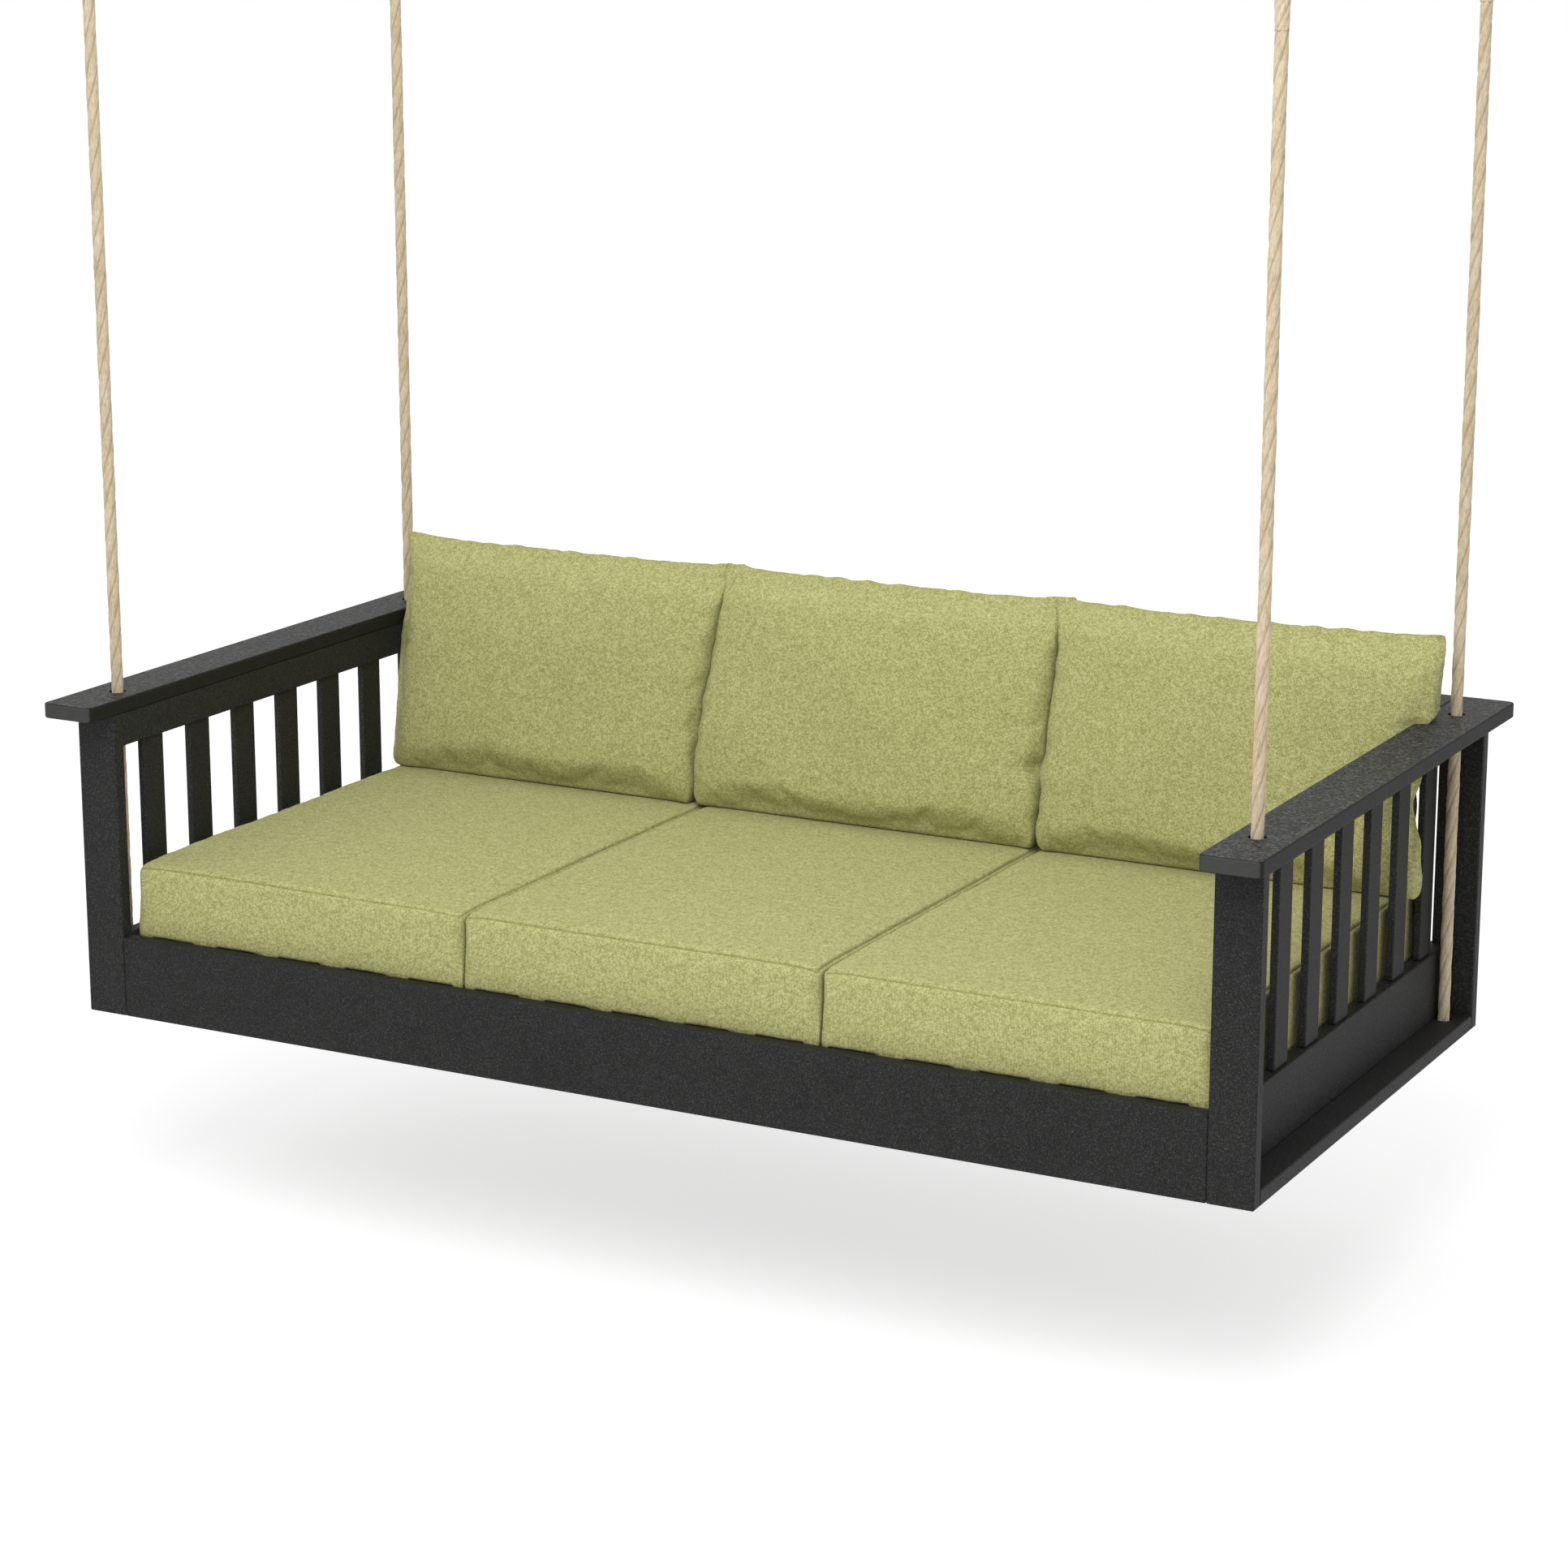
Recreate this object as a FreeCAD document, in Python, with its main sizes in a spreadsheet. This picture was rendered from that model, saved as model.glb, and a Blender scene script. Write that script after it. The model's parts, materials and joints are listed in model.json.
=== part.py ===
import FreeCAD, Part
import math
import os

import Sketcher
from FreeCAD import Base

# Porch swing daybed, millimetres.  +X runs along the seat to the right as seen from its front,
# +Y to the back, +Z up.  The origin is the middle of the ceiling plane that the four rope
# hangers are fastened to, so the whole swing lies below it.

os.makedirs("parts", exist_ok=True)
doc = FreeCAD.newDocument("porch_swing")

# ---------------------------------------------------------------- driving dimensions
DIMS = [
    ("frame_width", 2134.0, "outer faces of the posts, side to side"),
    ("frame_depth", 1028.7, "front face of front posts to back face of rear posts"),
    ("board", 25.4, "thickness of the boards"),
    ("edge_round", 3.0, "rounding of the board edges"),
    ("post_width", 76.2, "width of a post"),
    ("post_height", 527.0, "post length, underside of the armrests"),
    ("arm_width", 99.0, "armrest board width"),
    ("arm_out", 21.3, "armrest overhang past the posts, sideways"),
    ("arm_front", 66.3, "armrest overhang past the front posts"),
    ("arm_rear", 71.1, "armrest overhang past the rear posts"),
    ("arm_corner", 12.0, "plan radius of the armrest corners"),
    ("apron_height", 139.7, "height of the front and rear aprons"),
    ("top_rail_height", 57.15, "height of the rails under the armrests and the back cap"),
    ("side_rail_height", 118.6, "height of a side bottom rail"),
    ("slat_width", 57.15, "width of a side or back slat"),
    ("slat_thick", 12.7, "thickness of a side or back slat"),
    ("slat_pitch", 133.35, "spacing of the side and back slats"),
    ("side_slats", 7, "slats in each side"),
    ("back_slats", 14, "slats in the back"),
    ("deck_top", 138.0, "top of the seat slats"),
    ("seat_slat_width", 88.9, "width of a seat slat"),
    ("seat_slats", 15, "slats in the seat"),
    ("cleat_height", 38.1, "height of the cleats under the seat slats"),
    ("beam_height", 76.2, "height of the centre seat beam"),
    ("screw_row", 25.0, "screws either side of a seat slat's middle"),
    ("cushion_gap", 2.0, "gap between neighbouring cushions"),
    ("cushion_width", 654.0, "seat cushion width"),
    ("cushion_depth", 972.5, "seat cushion depth"),
    ("cushion_thick", 127.0, "seat cushion thickness"),
    ("cushion_front", 27.5, "seat cushion front, back from the front of the frame"),
    ("cushion_shift", 3.5, "cushion row's offset to the right"),
    ("pillow_width", 656.0, "back cushion width"),
    ("pillow_height", 424.0, "back cushion height"),
    ("pillow_base", 172.0, "back cushion thickness where it stands on the seat"),
    ("pillow_thick", 196.0, "back cushion thickness at its fullest"),
    ("pillow_back", 999.5, "back of the back cushions, from the front of the frame"),
    ("rope_size", 20.0, "rope diameter"),
    ("rope_side", 36.5, "rope centre in from the posts' outer faces"),
    ("rope_end", 65.0, "rope centre in from the front and back faces"),
    ("rope_hole", 28.6, "rope hole diameter"),
    ("ceiling", 1980.0, "ceiling plane above the underside of the seat frame"),
    ("pin_drop", 46.0, "hanger bolt axis below the ceiling plane"),
    ("eye_size", 54.0, "diameter of the rope eye's centre line"),
    ("splice_length", 140.0, "length of the tapered eye splice"),
    ("cap_size", 50.0, "flange diameter of a rope end cap"),
    ("cap_flange", 3.0, "flange thickness of a rope end cap"),
    ("cap_barrel", 30.0, "barrel diameter of a rope end cap"),
    ("cap_height", 11.0, "height of a rope end cap"),
    ("cap_floor", 2.0, "closed bottom of a rope end cap"),
    ("bolt_size", 12.0, "hanger bolt diameter"),
    ("ear_gap", 27.0, "clear width between a hanger's ears"),
    ("steel", 5.0, "thickness of the hanger plates"),
    ("plate_length", 124.0, "hanger plate length, front to back"),
    ("plate_width", 60.0, "hanger plate width"),
    ("lag_spacing", 90.0, "spacing of the two fixing holes of a hanger"),
    ("lag_hole", 10.5, "diameter of the fixing holes"),
]
sheet = doc.addObject("Spreadsheet::Sheet", "Sizes")
for row, (alias, value, note) in enumerate(DIMS, start=1):
    sheet.set(f"A{row}", note)
    sheet.set(f"B{row}", repr(value))
    sheet.setAlias(f"B{row}", alias)
doc.recompute()
V = {alias: float(value) for alias, value, _ in DIMS}


def cells(text):
    """Expression text with every alias pointed at the sheet."""
    out, word = "", ""
    for ch in text + " ":
        if ch.isalnum() or ch == "_":
            word += ch
        else:
            out += ("Sizes." + word) if word in V else word
            out += ch
            word = ""
    return out.strip()


def bind(obj, prop, text):
    obj.setExpression(prop, cells(text))


def place(obj, x, y, z):
    """Bind an object's position to the sheet."""
    for axis, text in zip("xyz", (x, y, z)):
        bind(obj, f"Placement.Base.{axis}", text)


# positions in terms of the sheet: the frame's own edges, seen from the origin
LEFT, RIGHT = "-frame_width/2", "frame_width/2"
FRONT, BACK = "-frame_depth/2", "frame_depth/2"
BOTTOM = "-ceiling"


def plane(body, role):
    return [f for f in body.Origin.OriginFeatures if f.Role == role][0]


def new_sketch(body, name, role="XY_Plane"):
    sketch = body.newObject("Sketcher::SketchObject", name)
    sketch.AttachmentSupport = (plane(body, role), "")
    sketch.MapMode = "FlatFace"
    return sketch


def rectangle(sketch, wide, high):
    """A rectangle centred on the sketch origin, its sides bound to two expressions."""
    pts = [(-40, -20), (40, -20), (40, 20), (-40, 20)]
    for i in range(4):
        a, b = pts[i], pts[(i + 1) % 4]
        sketch.addGeometry(Part.LineSegment(Base.Vector(*a, 0), Base.Vector(*b, 0)), False)
    for i in range(4):
        sketch.addConstraint(Sketcher.Constraint("Coincident", i, 2, (i + 1) % 4, 1))
    for i, kind in enumerate(("Horizontal", "Vertical", "Horizontal", "Vertical")):
        sketch.addConstraint(Sketcher.Constraint(kind, i))
    sketch.addConstraint(Sketcher.Constraint("Symmetric", 0, 1, 1, 2, -1, 1))
    i = sketch.addConstraint(Sketcher.Constraint("DistanceX", 0, 1, 0, 2, 80.0))
    j = sketch.addConstraint(Sketcher.Constraint("DistanceY", 1, 1, 1, 2, 40.0))
    sketch.renameConstraint(i, "wide")
    sketch.renameConstraint(j, "high")
    bind(sketch, "Constraints.wide", wide)
    bind(sketch, "Constraints.high", high)


def hole_pair(sketch, size, along, side=None):
    """Two round holes mirrored in the sketch's horizontal axis, offset sideways if asked."""
    c = [sketch.addGeometry(Part.Circle(Base.Vector(1, s * 15, 0), Base.Vector(0, 0, 1), 4),
                            False) for s in (1, -1)]
    sketch.addConstraint(Sketcher.Constraint("Equal", c[0], c[1]))
    sketch.addConstraint(Sketcher.Constraint("Symmetric", c[0], 3, c[1], 3, -1))
    i = sketch.addConstraint(Sketcher.Constraint("Diameter", c[0], 8.0))
    j = sketch.addConstraint(Sketcher.Constraint("DistanceY", -1, 1, c[0], 3, 15.0))
    sketch.renameConstraint(i, "hole")
    sketch.renameConstraint(j, "along")
    bind(sketch, "Constraints.hole", size)
    bind(sketch, "Constraints.along", along)
    if side is None:
        sketch.addConstraint(Sketcher.Constraint("PointOnObject", c[0], 3, -2))
    else:
        k = sketch.addConstraint(Sketcher.Constraint("DistanceX", -1, 1, c[0], 3, 1.0))
        sketch.renameConstraint(k, "side")
        bind(sketch, "Constraints.side", side)


def long_edges(shape):
    """Names of the edges of a box-like shape that don't belong to round holes."""
    return [f"Edge{i}" for i, e in enumerate(shape.Edges, start=1)
            if not isinstance(e.Curve, Part.Circle)]


def board(label, wide, deep, high, at, holes=None, corner=None, round_by="edge_round"):
    """A rounded board: plan rectangle padded upwards; `at` is the middle of its underside."""
    body = doc.addObject("PartDesign::Body", label)
    sketch = new_sketch(body, label + "_plan")
    rectangle(sketch, wide, deep)
    if holes:
        hole_pair(sketch, *holes)
    pad = body.newObject("PartDesign::Pad", label + "_pad")
    pad.Profile = sketch
    bind(pad, "Length", high)
    sketch.Visibility = False
    doc.recompute()
    last = pad
    if corner:
        last = body.newObject("PartDesign::Fillet", label + "_corners")
        up = [f"Edge{i}" for i, e in enumerate(pad.Shape.Edges, start=1)
              if isinstance(e.Curve, Part.Line) and abs(e.tangentAt(e.FirstParameter).z) > 0.9]
        last.Base = (pad, up)
        bind(last, "Radius", corner)
        doc.recompute()
        tops = []
        for i, e in enumerate(last.Shape.Edges, start=1):
            level = abs(e.BoundBox.ZMax - e.BoundBox.ZMin) < 1e-6
            hole = isinstance(e.Curve, Part.Circle) and e.isClosed()
            if level and not hole:
                tops.append(f"Edge{i}")
        edge = body.newObject("PartDesign::Fillet", label + "_edges")
        edge.Base = (last, tops)
    else:
        edge = body.newObject("PartDesign::Fillet", label + "_edges")
        edge.Base = (pad, long_edges(pad.Shape))
    bind(edge, "Radius", round_by)
    body.Tip = edge
    place(body, *at)
    doc.recompute()
    body.Label = label
    return body


parts = []


def keep(obj, label=None):
    if label:
        obj.Label = label
    parts.append(obj)
    return obj


# ---------------------------------------------------------------- seat frame
SIDES = (("left", LEFT, "+"), ("right", RIGHT, "-"))
ENDS = (("front", FRONT, "+"), ("rear", BACK, "-"))
INNER = "frame_width-2*post_width"        # clear width between the posts
BETWEEN = "frame_depth-2*board"           # clear depth between front and rear posts

for end, y0, ys in ENDS:
    for side, x0, xs in SIDES:
        keep(board(f"{end}_{side}_post", "post_width", "board", "post_height",
                   (f"{x0}{xs}post_width/2", f"{y0}{ys}board/2", BOTTOM)))
    keep(board(f"{end}_apron", INNER, "board", "apron_height",
               ("0", f"{y0}{ys}board/2", BOTTOM)))

ARM_LENGTH = "frame_depth+arm_front+arm_rear"
ARM_MIDDLE = "(arm_rear-arm_front)/2"
for side, x0, xs in SIDES:
    arm = doc.addObject("PartDesign::Body", f"{side}_armrest")
    sketch = new_sketch(arm, f"{side}_armrest_plan")
    rectangle(sketch, "arm_width", ARM_LENGTH)
    # the rope holes sit off the board's middle, so each is placed from the sketch origin
    toward = 1 if side == "left" else -1
    for n, reach in enumerate(("frame_depth/2-rope_end+" + ARM_MIDDLE,
                               "frame_depth/2-rope_end-" + ARM_MIDDLE)):
        sy = -1 if n == 0 else 1
        c = sketch.addGeometry(Part.Circle(Base.Vector(8 * toward, 15 * sy, 0),
                                           Base.Vector(0, 0, 1), 4), False)
        i = sketch.addConstraint(Sketcher.Constraint("Diameter", c, 8.0))
        if toward > 0:
            j = sketch.addConstraint(Sketcher.Constraint("DistanceX", -1, 1, c, 3, 8.0))
        else:
            j = sketch.addConstraint(Sketcher.Constraint("DistanceX", c, 3, -1, 1, 8.0))
        if sy > 0:
            k = sketch.addConstraint(Sketcher.Constraint("DistanceY", -1, 1, c, 3, 15.0))
        else:
            k = sketch.addConstraint(Sketcher.Constraint("DistanceY", c, 3, -1, 1, 15.0))
        for index, name, text in ((i, "hole", "rope_hole"),
                                  (j, "side", "rope_side+arm_out-arm_width/2"),
                                  (k, "along", reach)):
            sketch.renameConstraint(index, f"{name}{n}")
            bind(sketch, f"Constraints.{name}{n}", text)
    pad = arm.newObject("PartDesign::Pad", f"{side}_armrest_pad")
    pad.Profile = sketch
    bind(pad, "Length", "board")
    sketch.Visibility = False
    doc.recompute()
    corners = arm.newObject("PartDesign::Fillet", f"{side}_armrest_corners")
    corners.Base = (pad, [f"Edge{i}" for i, e in enumerate(pad.Shape.Edges, start=1)
                          if isinstance(e.Curve, Part.Line)
                          and abs(e.tangentAt(e.FirstParameter).z) > 0.9
                          and not any(isinstance(f.Surface, Part.Cylinder)
                                      for f in pad.Shape.ancestorsOfType(e, Part.Face))])
    bind(corners, "Radius", "arm_corner")
    doc.recompute()
    rim = []
    for i, e in enumerate(corners.Shape.Edges, start=1):
        flat = abs(e.BoundBox.ZMax - e.BoundBox.ZMin) < 1e-6
        if flat and not (isinstance(e.Curve, Part.Circle) and e.isClosed()):
            rim.append(f"Edge{i}")
    edges = arm.newObject("PartDesign::Fillet", f"{side}_armrest_edges")
    edges.Base = (corners, rim)
    bind(edges, "Radius", "edge_round")
    arm.Tip = edges
    place(arm, f"{x0}{'-' if side == 'left' else '+'}arm_out{xs}arm_width/2", ARM_MIDDLE,
          f"{BOTTOM}+post_height")
    keep(arm, f"{side}_armrest")

    inner_face = f"{x0}{xs}(post_width-board/2)"
    keep(board(f"{side}_side_top_rail", "board", BETWEEN, "top_rail_height",
               (inner_face, "0", f"{BOTTOM}+post_height-top_rail_height")))
    keep(board(f"{side}_side_bottom_rail", "board", BETWEEN, "side_rail_height",
               (inner_face, "0", f"{BOTTOM}+board")))
    for n in range(int(V["side_slats"])):
        keep(board(f"{side}_side_slat_{n + 1}", "slat_thick", "slat_width",
                   "post_height-top_rail_height-board-side_rail_height",
                   (inner_face, f"({n}-(side_slats-1)/2)*slat_pitch",
                    f"{BOTTOM}+board+side_rail_height")))
    # flat board that the ropes lift, between the front and the rear post
    shelf = board(f"{side}_rope_board", "post_width", BETWEEN, "board",
                  (f"{x0}{xs}post_width/2", "0", BOTTOM))
    for n, s in enumerate(("-", "+")):
        hole = doc.addObject("Part::Cylinder", f"{side}_rope_board_hole{n}")
        bind(hole, "Radius", "rope_hole/2")
        bind(hole, "Height", "board+4")
        place(hole, f"{x0}{xs}rope_side", f"{s}(frame_depth/2-rope_end)", f"{BOTTOM}-2")
        cut = doc.addObject("Part::Cut", f"{side}_rope_board_cut{n}")
        cut.Base, cut.Tool = shelf, hole
        shelf = cut
    shelf_name = f"{side}_rope_board"
    doc.getObject(shelf_name).Label = shelf_name + "_blank"
    keep(shelf, shelf_name)

keep(board("back_cap", "frame_width+2*arm_out-2*arm_width", "arm_width", "board",
           ("0", f"{BACK}+arm_rear-arm_width/2", f"{BOTTOM}+post_height")))
keep(board("back_top_rail", INNER, "board", "top_rail_height",
           ("0", f"{BACK}-board/2", f"{BOTTOM}+post_height-top_rail_height")))


def copies(label, body, steps):
    """One node of separate, identical solids: the body's shape moved to each step."""
    group = doc.addObject("Part::Feature", label)
    group.Shape = Part.makeCompound([body.Shape.translated(Base.Vector(*v)) for v in steps])
    body.Label = label + "_one"
    return group


def row(count, pitch):
    return [(n - (count - 1) / 2) * pitch for n in range(int(count))]


one = board("back_slat", "slat_width", "slat_thick",
            "post_height-top_rail_height-apron_height",
            ("0", f"{BACK}-board/2", f"{BOTTOM}+apron_height"))
keep(copies("back_slats", one, [(x, 0, 0) for x in row(V["back_slats"], V["slat_pitch"])]))

# ---------------------------------------------------------------- seat deck
seat_pitch = (V["frame_width"] - 2 * V["post_width"]
              - V["seat_slats"] * V["seat_slat_width"]) / (V["seat_slats"] + 1) + V["seat_slat_width"]
one = board("seat_slat", "seat_slat_width", "frame_depth-2*board-2", "board",
            ("0", "0", f"{BOTTOM}+deck_top-board"))
slats = copies("seat_slats_blank", one, [(x, 0, 0) for x in row(V["seat_slats"], seat_pitch)])
slats.Label = "seat_slats_blank"

deck = -V["ceiling"] + V["deck_top"]
screw_y = V["frame_depth"] / 2 - 1.5 * V["board"]


def screw(x, y, grow=0.0):
    """Countersunk screw: head flush with the deck, shank down through the cleat."""
    head, shank, length = 4.6 + grow, 2.3 + grow, 48.0 + grow
    pts = [(0, 0), (head, 0), (head, -0.6), (shank, -0.6 - (head - shank)), (shank, -length + 4),
           (0, -length)]
    if grow:
        pts[0:2] = [(0, 2.0), (head, 2.0)]
    vec = [Base.Vector(a, 0, b) for a, b in pts]
    face = Part.Face(Part.makePolygon(vec + vec[:1]))
    solid = face.revolve(Base.Vector(0, 0, 0), Base.Vector(0, 0, 1), 360)
    return solid.translated(Base.Vector(x, y, deck))


spots = [(x + dx, sy * screw_y) for x in row(V["seat_slats"], seat_pitch)
         for dx in (-V["screw_row"], V["screw_row"]) for sy in (-1, 1)]
screws = doc.addObject("Part::Feature", "seat_slat_screws")
screws.Shape = Part.makeCompound([screw(x, y) for x, y in spots])
keep(screws)


def drilled(blank, label, tools):
    cutter = doc.addObject("Part::Feature", label + "_drill")
    cutter.Shape = Part.makeCompound(tools)
    cut = doc.addObject("Part::Cut", label + "_drilled")
    cut.Base, cut.Tool = blank, cutter
    doc.recompute()
    blank.Label = label + "_plain"
    keep(cut, label)
    return cut


drilled(slats, "seat_slats", [screw(x, y, 0.15) for x, y in spots])
for end, y0, ys in ENDS:
    blank = board(f"{end}_seat_cleat", "frame_width-2*post_width-4", "board", "cleat_height",
                  ("0", f"{y0}{ys}board*3/2", f"{BOTTOM}+deck_top-board-cleat_height"))
    sy = -1 if end == "front" else 1
    drilled(blank, f"{end}_seat_cleat", [screw(x, y, 0.15) for x, y in spots if y * sy > 0])

keep(board("centre_seat_beam", INNER, "board", "beam_height",
           ("0", "0", f"{BOTTOM}+deck_top-board-beam_height")))
keep(board("seat_cross_tie", "seat_slat_width", BETWEEN, "board",
           ("0", "0", f"{BOTTOM}+deck_top-board*2-beam_height")))

# steel angles that join each apron to the side rail beside it
angle = doc.addObject("PartDesign::Body", "corner_angle")
sketch = new_sketch(angle, "corner_angle_plan")
leg, gauge = 45.0, 3.0
pts = [(0, 0), (leg, 0), (leg, gauge), (gauge, gauge), (gauge, leg), (0, leg)]
for i in range(6):
    a, b = pts[i], pts[(i + 1) % 6]
    sketch.addGeometry(Part.LineSegment(Base.Vector(*a, 0), Base.Vector(*b, 0)), False)
for i in range(6):
    sketch.addConstraint(Sketcher.Constraint("Coincident", i, 2, (i + 1) % 6, 1))
pad = angle.newObject("PartDesign::Pad", "corner_angle_pad")
pad.Profile = sketch
pad.Length = 58.0
sketch.Visibility = False
doc.recompute()
group = doc.addObject("Part::Feature", "corner_brackets")
made = []
for sx in (-1, 1):
    for sy in (-1, 1):
        piece = angle.Shape.copy()
        if sx > 0:
            piece = piece.mirror(Base.Vector(0, 0, 0), Base.Vector(1, 0, 0))
        if sy > 0:
            piece = piece.mirror(Base.Vector(0, 0, 0), Base.Vector(0, 1, 0))
        made.append(piece.translated(Base.Vector(
            sx * (V["frame_width"] / 2 - V["post_width"]),
            sy * (V["frame_depth"] / 2 - V["board"]), -V["ceiling"] + 8)))
group.Shape = Part.makeCompound(made)
keep(group)

# ---------------------------------------------------------------- cushions
SEAT_BASE = "-ceiling+deck_top+0.5"
for n, name in enumerate(("left", "middle", "right")):
    x = f"cushion_shift+({n}-1)*(cushion_width+cushion_gap)"
    keep(board(f"{name}_seat_cushion", "cushion_width", "cushion_depth", "cushion_thick",
               (x, f"{FRONT}+cushion_front+cushion_depth/2", SEAT_BASE), round_by="16"))

    pillow = doc.addObject("PartDesign::Body", f"{name}_back_cushion")
    sketch = new_sketch(pillow, f"{name}_back_cushion_side", "YZ_Plane")
    # side outline in depth and height from the foot of the cushion's back
    tall, base, full = V["pillow_height"], V["pillow_base"], V["pillow_thick"]
    line = [(-14, 0), (-14 - base, 0), (-full, 60), (-full, 200), (-full + 30, 330),
            (-100, tall - 6), (-76, tall), (-56, tall - 12), (-14, 330), (0, 230), (0, 60)]
    for i in range(len(line)):
        a, b = line[i], line[(i + 1) % len(line)]
        sketch.addGeometry(Part.LineSegment(Base.Vector(*a, 0), Base.Vector(*b, 0)), False)
    for i in range(len(line)):
        sketch.addConstraint(Sketcher.Constraint("Coincident", i, 2, (i + 1) % len(line), 1))
    pad = pillow.newObject("PartDesign::Pad", f"{name}_back_cushion_pad")
    pad.Profile = sketch
    pad.Midplane = True
    bind(pad, "Length", "pillow_width")
    sketch.Visibility = False
    place(pillow, f"cushion_shift/2+({n}-1)*(pillow_width+1.5)", f"{FRONT}+pillow_back",
          f"{SEAT_BASE}+cushion_thick+0.5")
    keep(pillow, f"{name}_back_cushion")

# ---------------------------------------------------------------- ropes
# Each rope is one length from the cap on its lower end to its eye.  It bends where it enters the
# armrest, so it is two solids that meet inside the armrest hole: the upper one turns on the
# hanger bolt, the lower one stays with the seat.
PIN_Z = -V["pin_drop"]
BEND_Z = -V["ceiling"] + V["post_height"] + V["board"] / 2
rope_r, eye_r = V["rope_size"] / 2, V["eye_size"] / 2


def fuse(label, shapes):
    joined = doc.addObject("Part::MultiFuse", label)
    joined.Shapes = shapes
    return joined


for end, y0, ys in ENDS:
    for side, x0, xs in SIDES:
        name = f"{end}_{side}"
        x, y = f"{x0}{xs}rope_side", f"{y0}{ys}rope_end"
        # upper rope: ball at the bend, straight run, tapered splice, eye
        run = doc.addObject("Part::Cylinder", name + "_run")
        bind(run, "Radius", "rope_size/2")
        bind(run, "Height", "ceiling-post_height-board/2-pin_drop-eye_size/2")
        place(run, x, y, "-ceiling+post_height+board/2")
        ball = doc.addObject("Part::Sphere", name + "_bend")
        bind(ball, "Radius", "rope_size/2")
        place(ball, x, y, "-ceiling+post_height+board/2")
        taper = doc.addObject("Part::Cone", name + "_splice")
        bind(taper, "Radius1", "rope_size/2")
        bind(taper, "Radius2", "rope_size/2+3")
        bind(taper, "Height", "splice_length")
        place(taper, x, y, "-pin_drop-eye_size/2-rope_size/2-4-splice_length")
        eye = doc.addObject("Part::Torus", name + "_loop")
        bind(eye, "Radius1", "eye_size/2")
        bind(eye, "Radius2", "rope_size/2")
        eye.Placement.Rotation = FreeCAD.Rotation(Base.Vector(0, 1, 0), -90)
        place(eye, x, y, "-pin_drop")
        keep(fuse(name + "_upper_rope", [run, ball, taper, eye]), name + "_upper_rope")

        # lower rope: from the bend down through the rope board into its end cap
        tail = doc.addObject("Part::Cylinder", name + "_tail")
        bind(tail, "Radius", "rope_size/2")
        bind(tail, "Height", "post_height+board/2-rope_size/2-0.5+cap_height-cap_floor")
        place(tail, x, y, "-ceiling-cap_height+cap_floor")
        keep(tail, name + "_lower_rope")

        # bored thimble that the eye sits in, turning on the hanger bolt
        blank = doc.addObject("Part::Cylinder", name + "_thimble_blank")
        blank.Radius, blank.Height = 24.0, 26.0
        blank.Placement.Rotation = FreeCAD.Rotation(Base.Vector(0, 1, 0), 90)
        place(blank, f"{x}-13", y, "-pin_drop")
        groove = doc.addObject("Part::Torus", name + "_thimble_groove")
        bind(groove, "Radius1", "eye_size/2")
        bind(groove, "Radius2", "rope_size/2+0.3")
        groove.Placement.Rotation = FreeCAD.Rotation(Base.Vector(0, 1, 0), -90)
        place(groove, x, y, "-pin_drop")
        bore = doc.addObject("Part::Cylinder", name + "_thimble_bore")
        bind(bore, "Radius", "bolt_size/2+0.08")
        bore.Height = 30.0
        bore.Placement.Rotation = FreeCAD.Rotation(Base.Vector(0, 1, 0), 90)
        place(bore, f"{x}-15", y, "-pin_drop")
        cut1 = doc.addObject("Part::Cut", name + "_thimble_grooved")
        cut1.Base, cut1.Tool = blank, groove
        cut2 = doc.addObject("Part::Cut", name + "_thimble_bored")
        cut2.Base, cut2.Tool = cut1, bore
        keep(cut2, name + "_thimble")

# ---------------------------------------------------------------- rope end caps and hangers
rope_x = V["frame_width"] / 2 - V["rope_side"]
rope_y = V["frame_depth"] / 2 - V["rope_end"]
CORNERS = [(sx * rope_x, sy * rope_y) for sy in (-1, 1) for sx in (-1, 1)]


def group_of(label, shape):
    node = doc.addObject("Part::Feature", label)
    node.Shape = Part.makeCompound([shape.translated(Base.Vector(x, y, 0)) for x, y in CORNERS])
    return keep(node)


# A pressed steel cap is swaged onto each rope's lower end; its flange bears on the board.
cap = Part.makeCylinder(V["cap_size"] / 2, V["cap_flange"]).fuse(
    Part.makeCylinder(V["cap_barrel"] / 2, V["cap_height"])).removeSplitter()
cap = cap.makeChamfer(0.8, [e for e in cap.Edges if isinstance(e.Curve, Part.Circle)
                             and e.CenterOfMass.z > 1])
cap = cap.cut(Part.makeCylinder(rope_r + 0.15, V["cap_height"] - V["cap_floor"]))
cap.rotate(Base.Vector(0, 0, 0), Base.Vector(1, 0, 0), 180)
group_of("rope_end_caps", cap.translated(Base.Vector(0, 0, -V["ceiling"])))

gap, steel = V["ear_gap"] / 2, V["steel"]
top = Part.makeBox(V["plate_width"], V["plate_length"], steel,
                   Base.Vector(-V["plate_width"] / 2, -V["plate_length"] / 2, -steel))
top = top.makeFillet(8.0, [e for e in top.Edges if abs(e.tangentAt(0).z) > 0.9])
ear_w = 40.0
for sx in (-1, 1):
    x0 = gap if sx > 0 else -gap - steel
    ear = Part.makeBox(steel, ear_w, V["pin_drop"] - steel + 2,
                       Base.Vector(x0, -ear_w / 2, PIN_Z))
    tip = Part.makeCylinder(ear_w / 2, steel, Base.Vector(x0, 0, PIN_Z), Base.Vector(1, 0, 0))
    top = top.fuse([ear, tip])
top = top.removeSplitter()
tools = [Part.makeCylinder(V["bolt_size"] / 2 + 0.2, 60, Base.Vector(-30, 0, PIN_Z),
                           Base.Vector(1, 0, 0))]
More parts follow.
